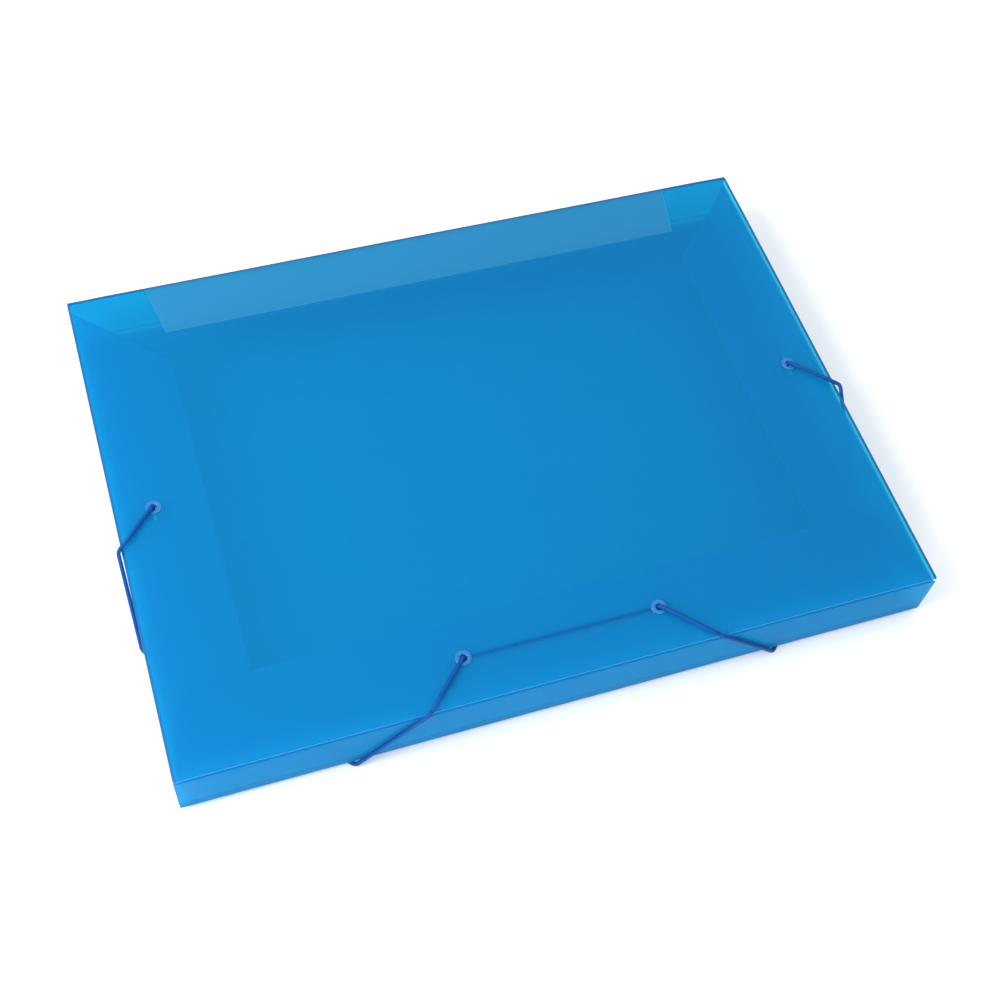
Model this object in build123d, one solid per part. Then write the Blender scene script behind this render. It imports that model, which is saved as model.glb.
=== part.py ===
from build123d import *
import math
import os

# An elastic-band document box, folded from one die-cut and creased sheet of polypropylene.
# A second sheet, the lid, is welded on a tab along the spine. Four eyelets in the lid hold one elastic
# cord, whose two loops go round the front corners and under the base. All sizes are in millimetres.
# The frame: X runs left to right along the spine, Y from the front edge to the spine, Z up.
# The origin is on the surface that the box lies on, at the middle of its length and depth.

# The box as folded
WIDTH = 335.0  # left wall to right wall, outside
DEPTH = 245.0  # front wall to spine, outside
HEIGHT = 28.5  # underside of the base to top of the lid
SHEET = 0.7  # thickness of the polypropylene sheet

# Creases and slack
CREASE_SLACK = 0.1  # between a crease's round edge and the panel that folds on it
PANEL_SLACK = 0.4  # between panels that stand or lie next to each other
WELD_SETBACK = 0.3  # the lid sheet stops this far short of the spine crease

# Flaps and tab
SIDE_FLAP = 40.0  # reach of the left and right flaps
FRONT_FLAP = 40.0  # reach of the front flap
FLAP_END_SLACK = 3.0  # from a side flap's end to the front wall or the spine
FRONT_FLAP_TAPER = 8.0  # how much narrower the front flap gets on each side
FLAP_CORNER = 6.0  # corner radius of the flaps
TAB_REACH = 29.0  # depth of the tab under the lid
TAB_END = 35.5  # from the tab's end to the side of the box, at the crease
TAB_TAPER = 5.5  # how much further in the tab's end is at its front edge
TAB_CORNER = 2.0
LID_CORNER = 1.0

# Elastic cord
CORD = 1.8  # diameter
CORD_SLACK = 0.4  # between the cord and the faces it passes
EYELET_SLACK = 0.2  # between the cord and an eyelet's rim
EDGE_BEND = 3.0  # bend radius of the cord's middle round an edge of the box
EYELET_BEND = 1.7  # bend radius of the cord's middle at an eyelet

# Eyelets
EYELET_HOLE = 3.0  # inside diameter
EYELET_BARREL = 4.4  # outside diameter of the barrel, and the hole in the lid
EYELET_FLANGE = 7.0  # diameter of the visible flange
EYELET_CURL = 6.2  # diameter of the rolled edge under the lid
EYELET_RIM = 0.4  # thickness of the flange and of the rolled edge
SIDE_EYELET_IN = 17.0  # from the side of the box
SIDE_EYELET_FROM_FRONT = 124.5
FRONT_EYELET_IN = 20.0  # from the front of the box
FRONT_EYELETS_APART = 87.0

# T-shaped clips crimped on the cord's ends
CLIP_BAR = 1.6  # diameter
CLIP_LENGTH = 12.0
CLIP_NECK = 2.4  # diameter of the neck that grips the cord
CLIP_SLACK = 0.1  # between the bar and the eyelet's rolled edge

# Heights
bead = SHEET / 2
cord_radius = CORD / 2
base_bottom = CORD + CORD_SLACK  # the front corners rest on the two loops of the cord
base_top = base_bottom + SHEET
lid_top = base_bottom + HEIGHT
lid_bottom = lid_top - SHEET
cord_over_lid = lid_top + EYELET_RIM + EYELET_SLACK + cord_radius
cord_under_lid = lid_bottom - EYELET_RIM - EYELET_SLACK - cord_radius
front_flap_top = cord_under_lid - cord_radius - PANEL_SLACK
side_flap_top = front_flap_top - SHEET - PANEL_SLACK

# Crease lines
cord_proud = CORD_SLACK + CORD  # how far the cord stands out from a wall
y_back = (DEPTH + cord_proud) / 2
y_front = y_back - DEPTH
x_side = WIDTH / 2
x_side_crease = x_side - bead
y_front_crease = y_front + bead
y_spine_crease = y_back - bead
z_base_crease = base_bottom + bead
z_side_flap_crease = side_flap_top - bead
z_front_flap_crease = front_flap_top - bead
z_lid_crease = lid_bottom - bead
fold_off = bead + CREASE_SLACK  # a folding panel starts this far from its crease line
side_wall_end = SHEET + PANEL_SLACK  # a side wall stops this far inside the front wall and the spine


def block(low, high):
    """A box between two corners."""
    size = [b - a for a, b in zip(low, high)]
    middle = [(a + b) / 2 for a, b in zip(low, high)]
    return Pos(*middle) * Box(*size)


def bead_along_x(y, z, x_from, x_to):
    """The round edge of a sheet at a crease that runs along X."""
    return Pos((x_from + x_to) / 2, y, z) * Rot(0, 90, 0) * Cylinder(bead, x_to - x_from)


def bead_along_y(x, z, y_from, y_to):
    """The round edge of a sheet at a crease that runs along Y."""
    return Pos(x, (y_from + y_to) / 2, z) * Rot(90, 0, 0) * Cylinder(bead, y_to - y_from)


def flat_panel(points, rounded, radius, bottom):
    """A level sheet with the outline's points, of which the numbered ones get a corner radius."""
    outline = Polygon(*points, align=None)
    near = [Vector(*points[i]) for i in rounded]
    corners = [v for v in outline.vertices() if any((Vector(v.X, v.Y) - p).length < 0.01 for p in near)]
    outline = fillet(corners, radius)
    return extrude(Pos(0, 0, bottom) * outline, amount=SHEET)


def base_panel():
    """The floor of the box, with a round edge on each of its four creases."""
    low = (-x_side_crease, y_front_crease, base_bottom)
    high = (x_side_crease, y_spine_crease, base_top)
    panel = block(low, high)
    for x in (-x_side_crease, x_side_crease):
        panel += bead_along_y(x, z_base_crease, y_front_crease, y_spine_crease)
    for y in (y_front_crease, y_spine_crease):
        panel += bead_along_x(y, z_base_crease, -x_side_crease, x_side_crease)
    return panel


def spine_panel():
    """The back of the box, between the base crease and the lid crease."""
    low = (-x_side, y_back - SHEET, z_base_crease + fold_off)
    high = (x_side, y_back, z_lid_crease)
    return block(low, high) + bead_along_x(y_spine_crease, z_lid_crease, -x_side, x_side)


def front_wall():
    """The front of the box, between the base crease and the front flap crease."""
    low = (-x_side, y_front, z_base_crease + fold_off)
    high = (x_side, y_front + SHEET, z_front_flap_crease)
    return block(low, high) + bead_along_x(y_front_crease, z_front_flap_crease, -x_side, x_side)


def side_wall(side):
    """The left (-1) or right (1) wall, which stands between the front wall and the spine."""
    y_from = y_front + side_wall_end
    y_to = y_back - side_wall_end
    x_inner = side * (x_side - SHEET)
    x_outer = side * x_side
    low = (min(x_inner, x_outer), y_from, z_base_crease + fold_off)
    high = (max(x_inner, x_outer), y_to, z_side_flap_crease)
    return block(low, high) + bead_along_y(side * x_side_crease, z_side_flap_crease, y_from, y_to)


def side_flap(side):
    """The left or right flap. Its ends slope at 45 degrees, so that it clears the lid and the front flap."""
    x_crease = side * (x_side_crease - fold_off)
    x_edge = side * (x_side - SIDE_FLAP)
    slope = abs(x_edge - x_crease)
    y_from = y_front + FLAP_END_SLACK
    y_to = y_back - FLAP_END_SLACK
    points = [(x_crease, y_from), (x_edge, y_from + slope), (x_edge, y_to - slope), (x_crease, y_to)]
    return flat_panel(points, (1, 2), FLAP_CORNER, side_flap_top - SHEET)


def front_flap():
    """The flap folded in from the top of the front wall, over the side flaps."""
    x_crease = x_side - side_wall_end
    x_edge = x_crease - FRONT_FLAP_TAPER
    y_crease = y_front_crease + fold_off
    y_edge = y_front + FRONT_FLAP
    points = [(-x_crease, y_crease), (x_crease, y_crease), (x_edge, y_edge), (-x_edge, y_edge)]
    return flat_panel(points, (2, 3), FLAP_CORNER, front_flap_top - SHEET)


def lid_tab():
    """The tab beyond the lid crease, which the lid sheet is welded on."""
    x_crease = x_side - TAB_END
    x_edge = x_crease - TAB_TAPER
    y_crease = y_spine_crease - fold_off
    y_edge = y_back - TAB_REACH
    points = [(-x_crease, y_crease), (x_crease, y_crease), (x_edge, y_edge), (-x_edge, y_edge)]
    return flat_panel(points, (2, 3), TAB_CORNER, lid_bottom - SHEET)


side_eyelet_x = x_side - SIDE_EYELET_IN
side_eyelet_y = y_front + SIDE_EYELET_FROM_FRONT
front_eyelet_x = FRONT_EYELETS_APART / 2
front_eyelet_y = y_front + FRONT_EYELET_IN
eyelet_places = {
    "eyelet_side_left": (-side_eyelet_x, side_eyelet_y),
    "eyelet_side_right": (side_eyelet_x, side_eyelet_y),
    "eyelet_front_left": (-front_eyelet_x, front_eyelet_y),
    "eyelet_front_right": (front_eyelet_x, front_eyelet_y),
}


def lid_panel():
    """The lid sheet, with the four holes for the eyelets."""
    y_edge = y_spine_crease - WELD_SETBACK
    points = [(-x_side, y_front), (x_side, y_front), (x_side, y_edge), (-x_side, y_edge)]
    panel = flat_panel(points, (0, 1, 2, 3), LID_CORNER, lid_bottom)
    for x, y in eyelet_places.values():
        panel -= Pos(x, y, lid_bottom + bead) * Cylinder(EYELET_BARREL / 2, 2 * SHEET)
    return panel


def eyelet(x, y):
    """A barrel with a flange over the lid and a rolled edge under it, turned in one piece."""
    inner = EYELET_HOLE / 2
    outer = EYELET_BARREL / 2
    top = lid_top + EYELET_RIM
    bottom = lid_bottom - EYELET_RIM
    flange = EYELET_FLANGE / 2
    curl = EYELET_CURL / 2
    profile = Polyline(
        (inner, bottom),
        (curl, bottom),
        (curl, lid_bottom),
        (outer, lid_bottom),
        (outer, lid_top),
        (flange, lid_top),
        (flange, top),
        (inner, top),
        close=True,
    )
    ring = revolve(Plane.XZ * make_face(profile), Axis.Z)
    soft = [e for e in ring.edges() if abs(e.center().Z - top) < 0.01 and e.length > math.pi * 2 * outer]
    ring = fillet(soft, EYELET_RIM * 0.6)
    return Pos(x, y, 0) * ring


def cord_clip(side):
    """A T-shaped clip: a bar across the eyelet, under the lid, and a neck that grips the cord's end."""
    x = side * side_eyelet_x
    z_bar = lid_bottom - EYELET_RIM - CLIP_SLACK - CLIP_BAR / 2
    bar = Pos(x, side_eyelet_y, z_bar) * Rot(90, 0, 0) * Cylinder(CLIP_BAR / 2, CLIP_LENGTH)
    neck_height = lid_bottom - z_bar
    neck = Pos(x, side_eyelet_y, z_bar + neck_height / 2) * Cylinder(CLIP_NECK / 2, neck_height)
    return bar + neck


def loop_points():
    """The right-hand loop's corners, from the front eyelet to the clip.

    The cord is taut, so it lies on the straight line between the two eyelets on the box's faces laid
    flat: lid, front wall, base, side wall, lid. along runs from the side eyelet towards the front eyelet
    across the box, and down runs from the side eyelet towards the front.
    """
    stand_off = cord_radius + CORD_SLACK
    x_run = x_side + stand_off
    y_run = y_front - stand_off
    z_low = cord_radius
    rise = cord_over_lid - z_low
    over_side = x_run - side_eyelet_x
    down_to_front = side_eyelet_y - y_run
    along_total = over_side + rise + (x_run - front_eyelet_x)
    down_total = down_to_front + rise + (front_eyelet_y - y_run)
    steepness = down_total / along_total
    x_front_low = x_run - (down_to_front / steepness - over_side - rise)
    x_front_high = x_run - ((down_to_front + rise) / steepness - over_side - rise)
    return [
        (front_eyelet_x, front_eyelet_y, cord_under_lid),
        (front_eyelet_x, front_eyelet_y, cord_over_lid),
        (x_front_high, y_run, cord_over_lid),
        (x_front_low, y_run, z_low),
        (x_run, side_eyelet_y - steepness * (over_side + rise), z_low),
        (x_run, side_eyelet_y - steepness * over_side, cord_over_lid),
        (side_eyelet_x, side_eyelet_y, cord_over_lid),
        (side_eyelet_x, side_eyelet_y, lid_bottom),
    ]


def elastic_cord():
    """The whole elastic, from the left clip round both front corners to the right clip."""
    right = loop_points()
    left = [(-x, y, z) for x, y, z in reversed(right)]
    half_radii = [EYELET_BEND] * 2 + [EDGE_BEND] * 4 + [EYELET_BEND]
    radii = half_radii[::-1] + half_radii
    path = FilletPolyline(*left, *right, radius=radii)
    section = Plane(origin=path @ 0, z_dir=path % 0) * Circle(cord_radius)
    tube = sweep(section, path=path)
    expected = math.pi * cord_radius**2 * path.length
    print("elastic cord: length", round(path.length, 1), "mm, bend radii", radii)
    print("elastic cord: volume", round(tube.volume, 1), "mm3, section times length", round(expected, 1))
    return tube


parts = {
    "base_panel": base_panel(),
    "spine_panel": spine_panel(),
    "lid_tab": lid_tab(),
    "lid_panel": lid_panel(),
    "front_wall": front_wall(),
    "front_flap": front_flap(),
    "left_wall": side_wall(-1),
    "left_flap": side_flap(-1),
    "right_wall": side_wall(1),
    "right_flap": side_flap(1),
    "cord_clip_left": cord_clip(-1),
    "cord_clip_right": cord_clip(1),
    "elastic_cord": elastic_cord(),
}
for eyelet_name, (eyelet_x, eyelet_y) in eyelet_places.items():
    parts[eyelet_name] = eyelet(eyelet_x, eyelet_y)

os.makedirs("parts", exist_ok=True)
for name, solid in parts.items():
    export_step(solid, f"parts/{name}.step")
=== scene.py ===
# %% [markdown]
# # An elastic document box in translucent polypropylene
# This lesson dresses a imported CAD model: a shallow box folded from one creased plastic sheet, with a lid
# welded on along the spine and one elastic cord round its front corners. The CAD holds the sizes, the
# creases and the joints. Blender adds what the eye needs: sheets with rounded cut edges that aren't
# perfectly flat, plastic that lets light and shapes through, moulded eyelets and a braided cord.

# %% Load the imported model
import bpy
import bmesh
import math
from mathutils import Matrix, Vector, noise


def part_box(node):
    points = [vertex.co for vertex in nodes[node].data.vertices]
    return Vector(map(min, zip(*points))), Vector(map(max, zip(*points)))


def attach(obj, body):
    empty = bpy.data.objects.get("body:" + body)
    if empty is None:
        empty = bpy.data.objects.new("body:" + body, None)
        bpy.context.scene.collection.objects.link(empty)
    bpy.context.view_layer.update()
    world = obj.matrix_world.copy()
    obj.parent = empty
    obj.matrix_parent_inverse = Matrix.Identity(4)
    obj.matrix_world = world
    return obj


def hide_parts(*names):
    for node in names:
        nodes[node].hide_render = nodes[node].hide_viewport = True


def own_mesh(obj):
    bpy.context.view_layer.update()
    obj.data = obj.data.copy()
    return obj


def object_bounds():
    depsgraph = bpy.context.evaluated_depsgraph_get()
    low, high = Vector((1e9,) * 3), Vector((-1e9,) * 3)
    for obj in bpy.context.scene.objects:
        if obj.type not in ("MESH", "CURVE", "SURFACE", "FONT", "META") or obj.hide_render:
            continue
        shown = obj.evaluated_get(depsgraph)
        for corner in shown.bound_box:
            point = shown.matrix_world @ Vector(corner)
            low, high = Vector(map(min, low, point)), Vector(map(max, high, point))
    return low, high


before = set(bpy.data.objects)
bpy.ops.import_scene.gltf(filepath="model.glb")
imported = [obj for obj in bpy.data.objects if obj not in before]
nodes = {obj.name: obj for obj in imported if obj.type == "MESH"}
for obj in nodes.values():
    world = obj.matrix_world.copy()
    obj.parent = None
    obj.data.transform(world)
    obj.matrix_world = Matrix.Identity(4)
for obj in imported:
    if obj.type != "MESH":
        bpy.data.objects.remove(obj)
cad_low, cad_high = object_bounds()
MM = 0.001
print("CAD box in mm:", [round(x / MM, 1) for x in (*cad_low, *cad_high)])

# %% [markdown]
# ## Sizes read from the frame
# Every piece goes where the CAD says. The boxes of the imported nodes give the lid's top and bottom, the
# eyelets' centres and the sheet's thickness, so nothing here has to be measured twice.

# %% Sizes
lid_low, lid_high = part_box("lid_panel")
tab_low, tab_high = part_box("lid_tab")
LID_TOP = lid_high.z
LID_BOTTOM = lid_low.z
EYELETS = ("eyelet_side_left", "eyelet_side_right", "eyelet_front_left", "eyelet_front_right")


def middle(node):
    """The middle of a CAD node's box."""
    low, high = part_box(node)
    return (low + high) / 2


print("lid from", round(LID_BOTTOM / MM, 1), "to", round(LID_TOP / MM, 1), "mm over the table")

# %% [markdown]
# ## Camera
# The camera looks down on the box from the front left, turned a little about its own line of sight.
# Azimuth and elevation say where it stands as seen from the point it aims at, and the roll turns it.
# Its three axes become the columns of its matrix, so no angle has to be converted twice.

# %% Camera
CAMERA_AZIMUTH = math.radians(-24.96)
CAMERA_ELEVATION = math.radians(58.04)
CAMERA_ROLL = math.radians(8.21)
CAMERA_DISTANCE = 0.6692
CAMERA_AIM = Vector((-0.00125, -0.02395, 0.015))
CAMERA_LENS_MM = 53.34
SENSOR_WIDTH_MM = 36

back = Vector((
    math.sin(CAMERA_AZIMUTH) * math.cos(CAMERA_ELEVATION),
    -math.cos(CAMERA_AZIMUTH) * math.cos(CAMERA_ELEVATION),
    math.sin(CAMERA_ELEVATION),
))
level_right = (-back).cross(Vector((0, 0, 1))).normalized()
level_up = level_right.cross(-back)
right = level_right * math.cos(CAMERA_ROLL) + level_up * math.sin(CAMERA_ROLL)
up = level_up * math.cos(CAMERA_ROLL) - level_right * math.sin(CAMERA_ROLL)
camera_data = bpy.data.cameras.new("camera")
camera_data.lens = CAMERA_LENS_MM
camera_data.sensor_width = SENSOR_WIDTH_MM
camera = bpy.data.objects.new("camera", camera_data)
turned = Matrix((right, up, back)).transposed().to_4x4()
camera.matrix_world = Matrix.Translation(CAMERA_AIM + back * CAMERA_DISTANCE) @ turned
bpy.context.scene.collection.objects.link(camera)
bpy.context.scene.camera = camera
print("camera at", [round(x, 3) for x in CAMERA_AIM + back * CAMERA_DISTANCE], "m")

# %% [markdown]
# ## Helpers for materials
# Colours are written as sRGB hex, the way a colour picker shows them, and turned to the linear values
# that shaders use. One function adds a shader node, sets it and links it, so each material reads as a
# short list.


# %% Colour and node helpers
def colour(hex_code):
    """Linear RGBA of an sRGB hex colour."""
    channels = [int(hex_code[i : i + 2], 16) / 255 for i in (0, 2, 4)]
    linear = [c / 12.92 if c <= 0.04045 else ((c + 0.055) / 1.055) ** 2.4 for c in channels]
    return (*linear, 1.0)


def add(tree, kind, inputs=None, **settings):
    """Adds a node. A value in inputs is set, and a socket is linked."""
    new = tree.nodes.new(kind)
    for name, value in settings.items():
        setattr(new, name, value)
    for name, value in (inputs or {}).items():
        if isinstance(value, bpy.types.NodeSocket):
            tree.links.new(value, new.inputs[name])
        else:
            new.inputs[name].default_value = value
    return new


def new_material(name):
    """An empty node material and its tree."""
    material = bpy.data.materials.new(name)
    material.use_nodes = True
    material.node_tree.nodes.clear()
    return material, material.node_tree


print("the hex grey 808080 is", round(colour("808080")[0], 3), "in linear light")

# %% [markdown]
# ## Polypropylene: blues and clear shares
# The sheet is extruded through a wide slot, pressed between a polished and a fine-grained roller and cut.
# It is dyed right through, and cloudy: part of the light bounces near the surface, part comes out
# diffusely on the other side, and a good part passes straight, so what lies close behind it shows. Each
# face of a sheet lets its own share straight through, and wear makes that share smaller.

# %% Values for polypropylene
SHEET_BLUE = "0EB6FC"
SHEET_BLUE_DEEP = "0AB0F6"
GLOW_BLUE = "1CC8FF"
CLEAR_TINT = "8CE4EA"
WELD_AND_PAINTED_LIGHT_BLUE = "40B0DC"
WELD_AND_PAINTED_LIGHT_BLUE_DEEP = "3AA8D6"
# paler blues for the creases, also a painted reflection of the white floor at the front wall's foot
CREASE_AND_PAINTED_REFLECTION_BLUE = "3AB2EC"
CREASE_AND_PAINTED_REFLECTION_BLUE_DEEP = "32ACE6"
GLOW_SHARE = 0.32  # light let out diffusely on the other side
CLEAR_GRAINED = 0.74  # light let straight through the outer, grained face
CLEAR_POLISHED = 0.78  # and through the inner, polished one
CLEAR_WELDED = 0.55  # a weld is whitened right through
CLEAR_CREASED = 0.68  # a crease is whitened by stretching
CLEAR_SCUFFED = 0.55  # papers and the lid rub the flaps at each use, so they turn cloudy
CLEAR_WALL = 0.62  # the walls only meet hands
CLEAR_SHELVED = 0.42  # the spine rubs along the shelf and its neighbours, and turns cloudier still
POLYPROPYLENE_IOR = 1.49
SHEET_ROUGHNESS = 0.38
SHEET_SPECULAR = 0.4
FLOW_MM = 70.0  # length of the faint streaks that extrusion leaves
FLOW_STRETCH = (0.25, 1.0, 1.0)  # they run along X, four times as long as they are wide
FLOW_DETAIL = 3.0
GRAIN_MM = 0.9  # the roller's grain is about 0.3 mm, drawn coarser so that it shows
GRAIN_DETAIL = 2.0
GRAIN_DEPTH_MM = 0.03
GRAIN_STRENGTH = 0.06
print("light straight through one sheet:", round(CLEAR_GRAINED * CLEAR_POLISHED, 2))

# %% [markdown]
# ## The cord's painted shade on the lid
# A thing that touches a cloudy sheet from behind shows through it, and one a few millimetres away
# doesn't. The cord touches the lid's underside between the two front eyelets. This look is painted into
# the lid's colour: a distance to that line, worked out from Object coordinates, mixes a deep blue into the
# lid's tone as painted shade, full at the cord and gone just past its width, with soft ends.

# %% Cord shade
CORD_PAINTED_SHADE_BLUE = "0C68D0"
CORD_PAINTED_SHADE_SHARE = 0.6  # how much painted shade of the cord the lid's colour takes
PAINTED_SHADE_CORE_MM = 0.5
PAINTED_SHADE_FADED_MM = 1.6
cord_line = middle("eyelet_front_right")  # the cord runs from here to the same place on the left


def paint_cord_shade(tree, place, tone):
    """The tone, with painted shade: deeper blue along the line where the cord lies against the sheet's
    other side.
    """
    axes = add(tree, "ShaderNodeSeparateXYZ", {"Vector": place})
    across = add(tree, "ShaderNodeMath", {0: axes.outputs["Y"], 1: cord_line.y}, operation="SUBTRACT")
    sideways = add(tree, "ShaderNodeMath", {0: axes.outputs["X"]}, operation="ABSOLUTE")
    past_end = add(
        tree, "ShaderNodeMath", {0: sideways.outputs["Value"], 1: cord_line.x}, operation="SUBTRACT"
    )
    beyond = add(tree, "ShaderNodeMath", {0: past_end.outputs["Value"], 1: 0.0}, operation="MAXIMUM")
    away = add(tree, "ShaderNodeCombineXYZ", {
        "X": beyond.outputs["Value"],
        "Y": across.outputs["Value"],
    })
    distance = add(tree, "ShaderNodeVectorMath", {0: away.outputs["Vector"]}, operation="LENGTH")
    shade = add(tree, "ShaderNodeMapRange", {
        "Value": distance.outputs["Value"],
        "From Min": PAINTED_SHADE_CORE_MM * MM,
        "From Max": PAINTED_SHADE_FADED_MM * MM,
        "To Min": CORD_PAINTED_SHADE_SHARE,
        "To Max": 0.0,
    })
    return add(tree, "ShaderNodeMix", {
        "Factor": shade.outputs["Result"],
        "A": tone,
        "B": colour(CORD_PAINTED_SHADE_BLUE),
    }, data_type="RGBA").outputs["Result"]


print("the cord shows", round(2 * cord_line.x / MM), "mm long under the lid")

# %% [markdown]
# ## Polypropylene: the shader
# A full volume shader would be slow and noisy for a sheet this thin. A mix of three surface shaders gives
# the same look: Principled for the satin face, Translucent for the glow that comes out at the back, and
# Transparent for the clear share. Slow streaks from extrusion vary the blue, and the roller's fine grain
# breaks up the gloss.


# %% Polypropylene
def polypropylene(name, light_blue, deep_blue, clear, painted_shade_by_cord=False):
    """The dyed, cloudy sheet, with clear the share of light that each face lets straight through."""
    material, tree = new_material(name)
    place = add(tree, "ShaderNodeTexCoord").outputs["Object"]
    streaks = add(tree, "ShaderNodeMapping", {"Vector": place, "Scale": FLOW_STRETCH})
    flow = add(tree, "ShaderNodeTexNoise", {
        "Vector": streaks.outputs["Vector"],
        "Scale": 1 / (FLOW_MM * MM),
        "Detail": FLOW_DETAIL,
    })
    blue = add(tree, "ShaderNodeMix", {
        "Factor": flow.outputs["Fac"],
        "A": colour(light_blue),
        "B": colour(deep_blue),
    }, data_type="RGBA").outputs["Result"]
    glow = colour(GLOW_BLUE)
    # painted shade: the cord's deep blue mixed into the lid's colours along its line
    if painted_shade_by_cord:
        blue, glow = (paint_cord_shade(tree, place, tone) for tone in (blue, glow))
    grain = add(tree, "ShaderNodeTexNoise", {
        "Vector": place,
        "Scale": 1 / (GRAIN_MM * MM),
        "Detail": GRAIN_DETAIL,
    })
    bump = add(tree, "ShaderNodeBump", {
        "Height": grain.outputs["Fac"],
        "Strength": GRAIN_STRENGTH,
        "Distance": GRAIN_DEPTH_MM * MM,
    })
    surface = add(tree, "ShaderNodeBsdfPrincipled", {
        "Base Color": blue,
        "Roughness": SHEET_ROUGHNESS,
        "IOR": POLYPROPYLENE_IOR,
        "Specular IOR Level": SHEET_SPECULAR,
        "Normal": bump.outputs["Normal"],
    })
    behind = add(tree, "ShaderNodeBsdfTranslucent", {"Color": glow})
    through = add(tree, "ShaderNodeBsdfTransparent", {"Color": colour(CLEAR_TINT)})
    cloudy = add(tree, "ShaderNodeMixShader", {
        "Fac": GLOW_SHARE,
        1: surface.outputs["BSDF"],
        2: behind.outputs["BSDF"],
    })
    whole = add(tree, "ShaderNodeMixShader", {
        "Fac": clear,
        1: cloudy.outputs["Shader"],
        2: through.outputs["BSDF"],
    })
    add(tree, "ShaderNodeOutputMaterial", {"Surface": whole.outputs["Shader"]})
    return material


print("extrusion streaks every", FLOW_MM, "mm and roller grain every", GRAIN_MM, "mm")

# %% [markdown]
# ## Polypropylene: eight finishes of one sheet
# Where the sheet was pressed, welded, stretched or rubbed, it lets less light straight through and turns
# paler or cloudier. So one recipe gives all its finishes, with other blues and another clear share. Some
# also carry painted light or shade: the lid's face the cord's painted shade, the weld painted light, and
# the crease strip a painted reflection of the floor at the front wall's foot.

# %% Sheet finishes
# the grained roller: a satin face that dims reflections, on the base and the lid
sheet_plastic = polypropylene(
    "polypropylene_grained_roller_face", SHEET_BLUE, SHEET_BLUE_DEEP, CLEAR_GRAINED
)
# the lid's grained face, with the cord's painted shade
lid_plastic_with_painted_shade = polypropylene(
    "polypropylene_grained_face_painted_shade_of_cord", SHEET_BLUE, SHEET_BLUE_DEEP, CLEAR_GRAINED, painted_shade_by_cord=True
)
# the polished roller: the clearest face, always inside
inner_plastic = polypropylene(
    "polypropylene_polished_roller_face", SHEET_BLUE, SHEET_BLUE_DEEP, CLEAR_POLISHED
)
# rubbed faces: a bluer, cloudier look that hides what lies behind
flap_plastic = polypropylene("polypropylene_scuffed_flap", SHEET_BLUE, SHEET_BLUE_DEEP, CLEAR_SCUFFED)
wall_plastic = polypropylene("polypropylene_handled_wall", SHEET_BLUE, SHEET_BLUE_DEEP, CLEAR_WALL)
spine_plastic = polypropylene("polypropylene_scuffed_spine", SHEET_BLUE, SHEET_BLUE_DEEP, CLEAR_SHELVED)
# the ultrasonic weld: whitened, and paler still as painted light scattered back from the tab beneath, so
# it reads as a pale strip
weld_and_painted_light_plastic = polypropylene("polypropylene_ultrasonic_weld_and_painted_light", WELD_AND_PAINTED_LIGHT_BLUE, WELD_AND_PAINTED_LIGHT_BLUE_DEEP, CLEAR_WELDED)
# the pressed crease: stretched and a little whitened along each fold; wider at the front wall's foot,
# where the paler strip is also a painted reflection of the white floor
crease_and_reflection_plastic = polypropylene(
    "polypropylene_pressed_crease_and_painted_reflection", CREASE_AND_PAINTED_REFLECTION_BLUE, CREASE_AND_PAINTED_REFLECTION_BLUE_DEEP, CLEAR_CREASED
)
sheet_finishes = (
    sheet_plastic, lid_plastic_with_painted_shade, inner_plastic, flap_plastic,
    wall_plastic, spine_plastic, weld_and_painted_light_plastic, crease_and_reflection_plastic,
)
print("sheet materials:", *[finish.name for finish in sheet_finishes], sep="\n  ")

# %% [markdown]
# ## Cut edges, eyelets and clips
# A cut edge shows the sheet's thickness end on, and the knife leaves it smooth. Its deeper blue is painted
# shade, standing for the long way light travels through the dye to get there. Seen from above, the rim
# beside the cut is deeper still, also painted shade. The eyelets are moulded and glossy, and the clips are
# steel strip, crimped and zinc plated. All of them are solid to the eye, so Principled alone does.

# %% Edge, eyelet and clip materials
# the edge's and the rim's deeper blues are painted shade
EDGE_PAINTED_SHADE_BLUE = "1280C0"
PAINTED_SHADE_RIM_BLUE = "0C5690"
EYELET_BLUE = "0D68B2"
CLIP_STEEL = "B9BDC2"
CLOUD_MM = 8.0  # size of the patches that are a little lighter or darker
CLOUD_DETAIL = 2.0
CLOUD_DARK, CLOUD_LIGHT = 0.9, 1.1


def even_finish(name, hex_code, finish):
    """A material of one colour that drifts a little, as no real batch is quite even."""
    material, tree = new_material(name)
    place = add(tree, "ShaderNodeTexCoord").outputs["Object"]
    cloud = add(tree, "ShaderNodeTexNoise", {
        "Vector": place,
        "Scale": 1 / (CLOUD_MM * MM),
        "Detail": CLOUD_DETAIL,
    })
    shade = add(tree, "ShaderNodeMapRange", {
        "Value": cloud.outputs["Fac"],
        "To Min": CLOUD_DARK,
        "To Max": CLOUD_LIGHT,
    })
    tone = add(tree, "ShaderNodeHueSaturation", {
        "Value": shade.outputs["Result"],
        "Color": colour(hex_code),
    })
    surface = add(tree, "ShaderNodeBsdfPrincipled", {"Base Color": tone.outputs["Color"], **finish})
    add(tree, "ShaderNodeOutputMaterial", {"Surface": surface.outputs["BSDF"]})
    return material


cut_finish = {"Roughness": 0.35, "IOR": POLYPROPYLENE_IOR, "Specular IOR Level": 0.3}
# a knife cut: smooth, its deep blue a painted shade, a fine line along each sheet
edge_painted_shade_plastic = even_finish("polypropylene_knife_cut_edge_painted_shade", EDGE_PAINTED_SHADE_BLUE, cut_finish)
# a deeper blue beside the lid's cut: painted shade
rim_painted_shade_plastic = even_finish("polypropylene_painted_shade_rim_beside_cut", PAINTED_SHADE_RIM_BLUE, cut_finish)
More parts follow.
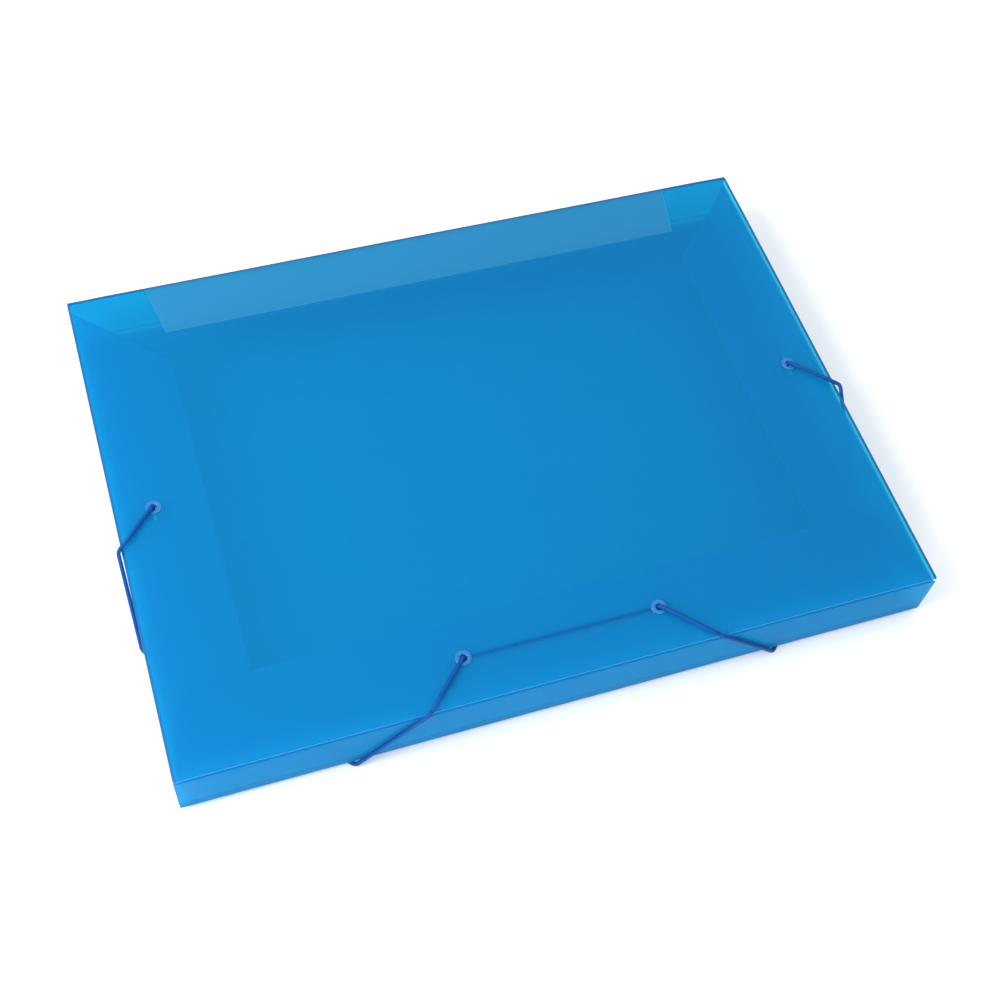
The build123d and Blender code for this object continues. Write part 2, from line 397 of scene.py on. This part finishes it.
# injection moulding in a polished die: a small bright arc on each lip
eyelet_plastic = even_finish("polypropylene_injection_moulded", EYELET_BLUE, {
    "Roughness": 0.14,
    "IOR": POLYPROPYLENE_IOR,
    "Specular IOR Level": 0.45,
    "Coat Weight": 0.2,
    "Coat Roughness": 0.05,
})
# crimped steel under zinc: grey, with soft metallic reflections
clip_steel = even_finish("steel_crimped_and_zinc_plated", CLIP_STEEL, {"Roughness": 0.3, "Metallic": 1.0})
print("solid materials:", edge_painted_shade_plastic.name, rim_painted_shade_plastic.name, eyelet_plastic.name, clip_steel.name)

# %% [markdown]
# ## Cuts and rounded copies
# The pieces start from the CAD's own meshes, so their sizes and holes are right from the start. A copy is
# merged first, because a CAD mesh is loose triangles. Its flat faces are joined again, and its sharp
# edges get a small bevel, as no cut plastic is quite sharp. bisect_plane cuts straight across a mesh and
# keeps its outline and holes.

# %% Cuts and rounded copies
THIN_X, THIN_Y, THIN_Z = 0, 1, 2
MERGE_WITHIN = 1e-6
CUT_WITHIN = 1e-7
SAME_PLANE = math.radians(1)
SHARP = math.radians(60)


def cut_plane(mesh, point, normal):
    """One straight cut through all of the mesh."""
    geometry = mesh.verts[:] + mesh.edges[:] + mesh.faces[:]
    bmesh.ops.bisect_plane(mesh, geom=geometry, plane_co=point, plane_no=normal, dist=CUT_WITHIN)


def cut(mesh, axis, at):
    """A cut that is square to an axis."""
    point, normal = Vector((0, 0, 0)), Vector((0, 0, 0))
    point[axis] = at
    normal[axis] = 1
    cut_plane(mesh, point, normal)


def rounded_copy(node, offset, segments):
    """A mesh copy of a CAD node, merged, with its sharp edges rounded."""
    mesh = bmesh.new()
    mesh.from_mesh(nodes[node].data)
    bmesh.ops.remove_doubles(mesh, verts=mesh.verts, dist=MERGE_WITHIN)
    bmesh.ops.dissolve_limit(mesh, angle_limit=SAME_PLANE, verts=mesh.verts, edges=mesh.edges)
    sharp = [edge for edge in mesh.edges if len(edge.link_faces) == 2 and edge.calc_face_angle(0) > SHARP]
    bmesh.ops.bevel(
        mesh, geom=sharp, offset=offset, segments=segments, profile=0.5, affect="EDGES",
        material=-1, clamp_overlap=True,
    )
    return mesh


print("edges that turn by more than", round(math.degrees(SHARP)), "degrees are rounded")

# %% [markdown]
# ## From mesh to piece
# Every piece ends in the same way: normals that point outwards, smooth shading and its materials. Then it
# is attached to its body, and the CAD node that it stands for is hidden.


# %% From mesh to piece
def finished(mesh, name, body, node, materials):
    """Turns the mesh into an object that rides on its body in place of the CAD node."""
    bmesh.ops.recalc_face_normals(mesh, faces=mesh.faces)
    for face in mesh.faces:
        face.smooth = True
    data = bpy.data.meshes.new(name)
    mesh.to_mesh(data)
    mesh.free()
    for material in materials:
        data.materials.append(material)
    piece = bpy.data.objects.new(name, data)
    bpy.context.scene.collection.objects.link(piece)
    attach(piece, body)
    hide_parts(node)
    print(f"{name}: {len(data.polygons)} faces on {body}")
    return piece


# %% [markdown]
# ## Sheets that aren't perfectly flat
# Every panel gets the same treatment, so one function does it. It slices the panel into a grid and moves
# the grid's points a few tenths of a millimetre: enough for light to slide unevenly over the plastic, and
# too little to leave the CAD's place. It needs the axis along which the sheet is thin. That axis also
# tells the faces apart: a face that looks along it is a side, outer or inner, and any other is the cut
# edge. A crease is one more cut, with a strip of paler plastic beyond it.

# %% Panel builder
OUTER, EDGE, INNER, SPECIAL, RIM = 0, 1, 2, 3, 4  # material slots of a sheet
BOX_MIDDLE = (cad_low + cad_high) / 2
EDGE_ROUND = 0.12 * MM
EDGE_SEGMENTS = 2
GRID_STEP = 8 * MM
WAVE = 0.12 * MM  # how far a sheet that's pressed and folded strays from flat
WAVE_LENGTHS = (70 * MM, 60 * MM, 50 * MM)


def gentle_wave(co):
    """The small unevenness that every folded sheet has."""
    return WAVE * noise.noise(Vector([at / length for at, length in zip(co, WAVE_LENGTHS)]))


def panel_mesh(node, thin, bend=gentle_wave, crease=None):
    """A CAD panel's mesh, cut to a grid. bend moves its points, and crease is a pale strip."""
    mesh = rounded_copy(node, EDGE_ROUND, EDGE_SEGMENTS)
    low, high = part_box(node)
    for axis in (a for a in range(3) if a != thin):
        count = round((high[axis] - low[axis]) / GRID_STEP)
        for i in range(1, count):
            cut(mesh, axis, low[axis] + (high[axis] - low[axis]) * i / count)
    if crease:
        axis, at_crease, way = crease
        cut(mesh, axis, at_crease)
    for face in mesh.faces:
        at = face.calc_center_median()
        if abs(face.normal[thin]) < 0.5:
            face.material_index = EDGE
        elif face.normal[thin] * (BOX_MIDDLE[thin] - at[thin]) > 0:
            face.material_index = INNER
        elif crease and (at[axis] - at_crease) * way > 0:
            face.material_index = SPECIAL
    for vert in mesh.verts:
        vert.co[thin] += bend(vert.co)
    return mesh


def tray_panel(node, body, thin, outer, crease=None):
    """A panel of the tray, with its outer face's plastic, its cut edge and its crease."""
    finished(
        panel_mesh(node, thin, crease=crease), f"{node}_sheet", body, node,
        [outer, edge_painted_shade_plastic, inner_plastic, crease_and_reflection_plastic],
    )


print("grid of", GRID_STEP / MM, "mm, edges rounded by", EDGE_ROUND / MM, "mm")

# %% [markdown]
# ## Lid: how it droops
# The lid is the largest sheet and held only at the back, so it strays furthest from flat. It gets a slower
# and deeper wave than the tray, and droops a little at its sides, where the cord pulls it down.

# %% The lid's droop
DROOP = 0.6 * MM
DROOP_WIDTH = 16 * MM
LID_WAVE = 0.25 * MM
LID_WAVE_LENGTHS = (90 * MM, 70 * MM)
LID_WAVE_LAYER = 0.3  # which slice of the noise the lid takes


def lid_bend(co):
    """Droop at the sides and a slow wave over the middle."""
    side = max(0.0, abs(co.x) - (lid_high.x - DROOP_WIDTH)) / DROOP_WIDTH
    wave = noise.noise(Vector((co.x / LID_WAVE_LENGTHS[0], co.y / LID_WAVE_LENGTHS[1], LID_WAVE_LAYER)))
    return -DROOP * side**2 + LID_WAVE * wave


corner = Vector((lid_high.x, lid_low.y, LID_TOP))
print("the lid's front right corner droops by", round(-lid_bend(corner) / MM, 2), "mm")

# %% [markdown]
# ## Lid: weld and rim
# The lid is welded to the tab behind it. Ultrasonic welding presses a fine grain into both sheets, which
# scatters light before the dye has taken its share, so the welded strip looks paler; part of that paleness
# is painted light, for the light that the tab beneath scatters back. It has the tab's outline: two cuts
# mark its slanted ends and one its front edge, and the faces inside get the weld's material. Three more
# cuts, near the sides and the back, bound the deeper rim, a painted shade beside the cut.

# %% Lid
RIM_WIDTH = 0.8 * MM  # the rim beside the cut gets a deeper blue, painted shade
TAB_FRONT = 3 * MM  # the tab's points this near its front edge show how wide it is there
mesh = panel_mesh("lid_panel", THIN_Z, bend=lid_bend)
tab_narrow = max(abs(v.co.x) for v in nodes["lid_tab"].data.vertices if v.co.y < tab_low.y + TAB_FRONT)
slant = Vector((tab_high.x - tab_narrow, tab_high.y - tab_low.y, 0))
for side in (-1, 1):
    cut_plane(mesh, (side * tab_high.x, tab_high.y, 0), (side * slant.y, -slant.x, 0))
cut(mesh, THIN_Y, tab_low.y)
cut(mesh, THIN_Y, lid_high.y - RIM_WIDTH)
for side in (-1, 1):
    cut(mesh, THIN_X, side * (lid_high.x - RIM_WIDTH))
for face in mesh.faces:
    at = face.calc_center_median()
    reach = tab_narrow + (at.y - tab_low.y) / slant.y * slant.x
    # the rim along the lid's sides and back takes the painted shade
    if abs(at.x) > lid_high.x - RIM_WIDTH or at.y > lid_high.y - RIM_WIDTH:
        face.material_index = RIM
    elif face.material_index == OUTER and at.y > tab_low.y and abs(at.x) < reach:
        face.material_index = SPECIAL
finished(
    mesh, "lid_panel_sheet", "lid", "lid_panel",
    [lid_plastic_with_painted_shade, edge_painted_shade_plastic, inner_plastic, weld_and_painted_light_plastic, rim_painted_shade_plastic],
)
finished(
    panel_mesh("lid_tab", THIN_Z), "lid_tab_sheet", "lid", "lid_tab",
    [weld_and_painted_light_plastic, edge_painted_shade_plastic, inner_plastic],
)

# %% [markdown]
# ## Tray
# Base, spine, walls and flaps are one blank in the factory, folded along pressed creases. Each crease is a
# hinge in the CAD, so each panel is its own piece here, and the strip beside the crease is paler. At the
# front wall's foot the strip is wider: crease whitening and a painted reflection of the white floor.

# %% Tray
CREASE_STRIP = 1.6 * MM
WALL_STRIP_WITH_PAINTED_REFLECTION = 5.0 * MM  # a wider pale strip at the front wall's foot: crease whitening and a painted reflection of the white floor


def strip_at_foot(node, width):
    """The crease along the foot of a standing panel: its axis, its height and the side it is on."""
    return (THIN_Z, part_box(node)[0].z + width, -1)


spine_crease = strip_at_foot("spine_panel", CREASE_STRIP)
front_crease_and_painted_reflection = strip_at_foot("front_wall", WALL_STRIP_WITH_PAINTED_REFLECTION)
side_crease = strip_at_foot("left_wall", CREASE_STRIP)
tray_panel("base_panel", "base", THIN_Z, sheet_plastic)
tray_panel("spine_panel", "spine", THIN_Y, spine_plastic, spine_crease)
tray_panel("front_wall", "front_wall", THIN_Y, wall_plastic, front_crease_and_painted_reflection)
tray_panel("front_flap", "front_flap", THIN_Z, flap_plastic)
for side in ("left", "right"):
    tray_panel(f"{side}_wall", f"{side}_wall", THIN_X, wall_plastic, side_crease)
    tray_panel(f"{side}_flap", f"{side}_flap", THIN_Z, flap_plastic)

# %% [markdown]
# ## Eyelets
# Each eyelet is a moulded ring in two snapped parts. The lip on top, the barrel through the lid and the
# curl below are small ellipses spun round the hole's middle, so light runs round the lip in a clean arc.

# %% Eyelets
HOLE = 3.0 * MM / 2
BARREL = 4.4 * MM / 2
CURL = 0.88  # the curl's radius as a share of the lip's
SUNK = 0.1 * MM  # how deep lip and barrel run into each other
CURL_SUNK = 0.05 * MM
SECTION_POINTS = 20
RING_STEPS = 48


def ring(mesh, centre, inner, outer, low, high):
    """An ellipse as tall as low to high and as wide as inner to outer, spun round a vertical axis."""
    circle = bmesh.ops.create_circle(mesh, segments=SECTION_POINTS, radius=1.0)["verts"]
    upright = Matrix.Rotation(math.pi / 2, 3, "X")
    bmesh.ops.rotate(mesh, verts=circle, cent=(0, 0, 0), matrix=upright)
    bmesh.ops.scale(mesh, verts=circle, vec=((outer - inner) / 2, 1, (high - low) / 2))
    start = (centre.x + (inner + outer) / 2, centre.y, (low + high) / 2)
    bmesh.ops.translate(mesh, verts=circle, vec=start)
    edges = list({edge for vert in circle for edge in vert.link_edges})
    bmesh.ops.spin(
        mesh, geom=circle + edges, cent=(centre.x, centre.y, 0), axis=(0, 0, 1),
        angle=2 * math.pi, steps=RING_STEPS, use_merge=True, use_duplicate=False,
    )


for name in EYELETS:
    low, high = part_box(name)
    centre = middle(name)
    flange = (high.x - low.x) / 2
    mesh = bmesh.new()
    ring(mesh, centre, HOLE, flange, LID_TOP - SUNK, high.z)
    ring(mesh, centre, HOLE, BARREL, low.z, high.z - SUNK)
    ring(mesh, centre, HOLE, flange * CURL, low.z, LID_BOTTOM + CURL_SUNK)
    finished(mesh, f"{name}_moulded", "lid", name, [eyelet_plastic])

# %% [markdown]
# ## Cord clips
# A short steel bar is crimped to each end of the elastic and lies across the hole under the lid, so the
# cord can't pull out. Its edges are rounded as a die leaves them.

# %% Clips
CLIP_ROUND = 0.15 * MM
CLIP_SEGMENTS = 3
for side in ("left", "right"):
    name = f"cord_clip_{side}"
    bar = rounded_copy(name, CLIP_ROUND, CLIP_SEGMENTS)
    finished(bar, f"{name}_steel", "lid", name, [clip_steel])

# %% [markdown]
# ## Braided elastic: the material
# A rubber core in a braided polyester sleeve. Sixteen yarns cross in two helices, eight each way, and each
# crossing stands up as a small rib. Two sets of diagonal bands on the cord's own UV map give the ribs: one
# turn round the cord holds eight bands, and the bands' spacing along it is set in millimetres. A wave
# texture's bands repeat each time its scaled coordinate grows by a fifth of pi, hence the scale below.

# %% Braid material
CORD = 1.8 * MM
YARNS = 8  # bands round the cord, each way
RIB_SPACING = 0.75 * MM
RIB_HEIGHT_MM = 0.08
RIB_STRENGTH = 0.5
CORD_DARK = "03234C"
CORD_LIGHT = "08529C"
OTHER_WAY = (-1.0, 1.0, 1.0)  # mirrors the pattern, for the yarns that wind the other way


def braided_polyester():
    """Dyed yarn woven round a core, dull, with two helices of fine ribs that cross."""
    material, tree = new_material("polyester_braid_on_rubber")
    place = add(tree, "ShaderNodeTexCoord").outputs["UV"]
    turned_over = add(tree, "ShaderNodeMapping", {"Vector": place, "Scale": OTHER_WAY})
    one_way, other_way = (
        add(tree, "ShaderNodeTexWave", {
            "Vector": vector,
            "Scale": 2 * math.pi * YARNS / 10,
        }, bands_direction="DIAGONAL")
        for vector in (place, turned_over.outputs["Vector"])
    )
    ribs = add(tree, "ShaderNodeMath", {
        0: one_way.outputs["Fac"],
        1: other_way.outputs["Fac"],
    }, operation="MAXIMUM")
    blue = add(tree, "ShaderNodeMix", {
        "Factor": ribs.outputs["Value"],
        "A": colour(CORD_DARK),
        "B": colour(CORD_LIGHT),
    }, data_type="RGBA")
    bump = add(tree, "ShaderNodeBump", {
        "Height": ribs.outputs["Value"],
        "Strength": RIB_STRENGTH,
        "Distance": RIB_HEIGHT_MM * MM,
    })
    surface = add(tree, "ShaderNodeBsdfPrincipled", {
        "Base Color": blue.outputs["Result"],
        "Roughness": 0.5,
        "Specular IOR Level": 0.12,
        "Normal": bump.outputs["Normal"],
    })
    add(tree, "ShaderNodeOutputMaterial", {"Surface": surface.outputs["BSDF"]})
    return material


braid = braided_polyester()
print(braid.name, "with", YARNS, "bands each way round", CORD / MM, "mm")

# %% [markdown]
# ## Braided elastic: the way it runs
# A taut cord takes the shortest way over the box: a straight line if lid, front wall, base and side wall
# are laid out flat. So its corners at the edges follow from the two eyelets alone. Each corner is then
# rounded, with a small bend at an eyelet and a wider one over an edge.

# %% Corners of the loop
EDGE_BEND = 3.0 * MM
EYELET_BEND = 1.7 * MM
UNDER_GAP = 0.15 * MM
cord_low, cord_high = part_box("elastic_cord")
OVER_LID = cord_high.z - CORD / 2
UNDER_LID = LID_BOTTOM - CORD / 2 - UNDER_GAP


def right_loop():
    """The corners of the right-hand loop, from the front eyelet to the side eyelet."""
    front, side = middle("eyelet_front_right"), middle("eyelet_side_right")
    x_run, y_run = cord_high.x - CORD / 2, cord_low.y + CORD / 2
    z_low = cord_low.z + CORD / 2
    rise = OVER_LID - z_low
    across = x_run - side.x
    along = side.y - y_run
    steep = (along + rise + front.y - y_run) / (across + rise + x_run - front.x)
    return [
        Vector((front.x, front.y, UNDER_LID)),
        Vector((front.x, front.y, OVER_LID)),
        Vector((x_run - (along + rise) / steep + across + rise, y_run, OVER_LID)),
        Vector((x_run - along / steep + across + rise, y_run, z_low)),
        Vector((x_run, side.y - steep * (across + rise), z_low)),
        Vector((x_run, side.y - steep * across, OVER_LID)),
        Vector((side.x, side.y, OVER_LID)),
        Vector((side.x, side.y, LID_BOTTOM)),
    ]


corners = right_loop()
print("loop corners in mm:", [[round(c / MM, 1) for c in p] for p in corners])

# %% [markdown]
# ## Braided elastic: rounding the corners
# At each corner an arc leaves the line where it touches it and swings about one centre. Long straight
# stretches are divided, so that no face of the tube is long and thin.

# %% Rounded path
ARC_STEPS = 10
LONGEST_RUN = 12 * MM


def rounded_path(corners, radii, steps=ARC_STEPS):
    """Points along the corners' line, with an arc of the given radius at each inner corner."""
    path = [corners[0]]
    for before, corner, after, radius in zip(corners, corners[1:], corners[2:], radii):
        back, ahead = (before - corner).normalized(), (after - corner).normalized()
        half = back.angle(ahead) / 2
        centre = corner + (back + ahead).normalized() * radius / math.sin(half)
        first = corner + back * radius / math.tan(half)
        turn = back.cross(ahead).normalized()
        for i in range(steps + 1):
            swing = Matrix.Rotation(-(math.pi - 2 * half) * i / steps, 3, turn)
            path.append(centre + swing @ (first - centre))
    path.append(corners[-1])
    dense = [path[0]]
    for a, b in zip(path, path[1:]):
        count = max(1, math.ceil((b - a).length / LONGEST_RUN))
        dense += [a.lerp(b, i / count) for i in range(1, count + 1)]
    return dense


right_path = rounded_path(corners, [EYELET_BEND, *[EDGE_BEND] * 4, EYELET_BEND])
left_path = [Vector((-p.x, p.y, p.z)) for p in right_path]
print("points on each loop:", len(right_path))

# %% [markdown]
# ## Braided elastic: the cord
# A flat grid is rolled up round the path, as a strip would be: one side of the grid goes round the cord
# and the other along it. The grid's own coordinates become the UV map, so the braid keeps its true size.

# %% Cord builder
AROUND = 20


def cord_piece(name, path):
    """A cord along the path, riding on the lid."""
    rows = len(path) - 1
    lengths = [0.0]
    for a, b in zip(path, path[1:]):
        lengths.append(lengths[-1] + (b - a).length)
    headings = [(path[min(i + 1, rows)] - path[max(i - 1, 0)]).normalized() for i in range(rows + 1)]
    out = headings[0].orthogonal().normalized()
    outs = [out]
    for before, after in zip(headings, headings[1:]):
        out = before.rotation_difference(after) @ out
        outs.append(out.copy())
    mesh = bmesh.new()
    uv = mesh.loops.layers.uv.new("UVMap")
    bmesh.ops.create_grid(mesh, x_segments=AROUND, y_segments=rows, size=0.5)
    for face in mesh.faces:
        for loop in face.loops:
            row = round((loop.vert.co.y + 0.5) * rows)
            loop[uv].uv = (loop.vert.co.x + 0.5, lengths[row] / (YARNS * RIB_SPACING))
    for vert in mesh.verts:
        row = round((vert.co.y + 0.5) * rows)
        round_it = Matrix.Rotation(2 * math.pi * (vert.co.x + 0.5), 3, headings[row])
        vert.co = path[row] + round_it @ outs[row] * CORD / 2
    bmesh.ops.remove_doubles(mesh, verts=mesh.verts, dist=MERGE_WITHIN)
    bmesh.ops.holes_fill(mesh, edges=[e for e in mesh.edges if e.is_boundary], sides=0)
    return finished(mesh, name, "lid", "elastic_cord", [braid])


print("faces round the cord:", AROUND)

# %% [markdown]
# ## Braided elastic: seven lengths
# The run under the lid and the stretches over it stay on the lid. The two loops round the box's corners
# come off and spring back flat against the lid when it opens; here each loop gets a mesh of its own. A
# loop starts where the path last leaves the lid's top and ends where it comes back to it.

# %% The seven lengths
ON_LID = 0.01 * MM  # a point this near the height over the lid lies on it
RUN_TURNED_UP = 2 * MM  # the run's ends stop this far below the cord over the lid
RUN_BEND = EYELET_BEND * 0.6
RUN_STEPS = 6
over = [i for i, p in enumerate(right_path) if abs(p.z - OVER_LID) < ON_LID]
leaves = max(i for i in over if i < len(right_path) / 2)
returns = min(i for i in over if i > len(right_path) / 2)
eyelet = corners[0]
run_path = rounded_path([
    Vector((-eyelet.x, eyelet.y, OVER_LID - RUN_TURNED_UP)),
    Vector((-eyelet.x, eyelet.y, UNDER_LID)),
    Vector((eyelet.x, eyelet.y, UNDER_LID)),
    Vector((eyelet.x, eyelet.y, OVER_LID - RUN_TURNED_UP)),
], [RUN_BEND] * 2, RUN_STEPS)
cord_piece("elastic_under_lid", run_path)
for side, path in (("right", right_path), ("left", left_path)):
    cord_piece(f"elastic_front_{side}", path[: leaves + 1])
    cord_piece(f"elastic_side_{side}", path[returns:])
    loop = cord_piece(f"elastic_loop_{side}", path[leaves : returns + 1])
    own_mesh(loop)

# %% Stage
FLOOR = "F6F7F8"
FLOOR_HALF = 4.0
floor_mesh = bmesh.new()
bmesh.ops.create_grid(floor_mesh, x_segments=1, y_segments=1, size=FLOOR_HALF)
floor_data = bpy.data.meshes.new("floor")
floor_mesh.to_mesh(floor_data)
floor_mesh.free()
floor = bpy.data.objects.new("floor", floor_data)
bpy.context.scene.collection.objects.link(floor)
material, tree = new_material("studio_floor_card")
card = add(tree, "ShaderNodeBsdfPrincipled", {"Base Color": colour(FLOOR), "Roughness": 0.9})
add(tree, "ShaderNodeOutputMaterial", {"Surface": card.outputs["BSDF"]})
floor_data.materials.append(material)
print("floor", 2 * FLOOR_HALF, "m wide")

# %% [markdown]
# ## Light
# A tent of white cloth, dimmer at its sides than at its roof, and two softboxes, as in a small product
# studio. The key light stands near the box on the left, so the lid is a little brighter there. The fill
# in front lights the front wall. The Standard view keeps the blues as they were chosen.

# %% Light tent
HORIZON, ZENITH = 0.6, 1.22
world = bpy.data.worlds.new("studio_light_tent")
world.use_nodes = True
tree = world.node_tree
tree.nodes.clear()
toward = add(tree, "ShaderNodeTexCoord").outputs["Generated"]
height = add(tree, "ShaderNodeSeparateXYZ", {"Vector": toward}).outputs["Z"]
cloth = add(tree, "ShaderNodeMapRange", {"Value": height, "To Min": HORIZON, "To Max": ZENITH})
tent = add(tree, "ShaderNodeBackground", {
    "Color": colour("FFFFFF"),
    "Strength": cloth.outputs["Result"],
})
add(tree, "ShaderNodeOutputWorld", {"Surface": tent.outputs["Background"]})
bpy.context.scene.world = world
bpy.context.scene.view_settings.view_transform = "Standard"
print("tent strength from", HORIZON, "at the horizon to", ZENITH, "overhead")


# %% Softboxes
def soft_light(name, place, aim, size, watts):
    """A square softbox at a place, turned to face the aim."""
    light = bpy.data.lights.new(name, "AREA")
    light.size = size
    light.energy = watts
    lamp = bpy.data.objects.new(name, light)
    lamp.location = place
    lamp.rotation_euler = (Vector(aim) - Vector(place)).to_track_quat("-Z", "Y").to_euler()
    bpy.context.scene.collection.objects.link(lamp)
    print(f"{name}: {watts} W, {size} m wide")


soft_light("key", place=(-0.75, -0.05, 0.65), aim=(0, 0, 0), size=0.6, watts=9.0)
soft_light("front_fill", place=(-0.35, -1.1, 0.3), aim=(0, -0.1, 0), size=0.6, watts=5.5)
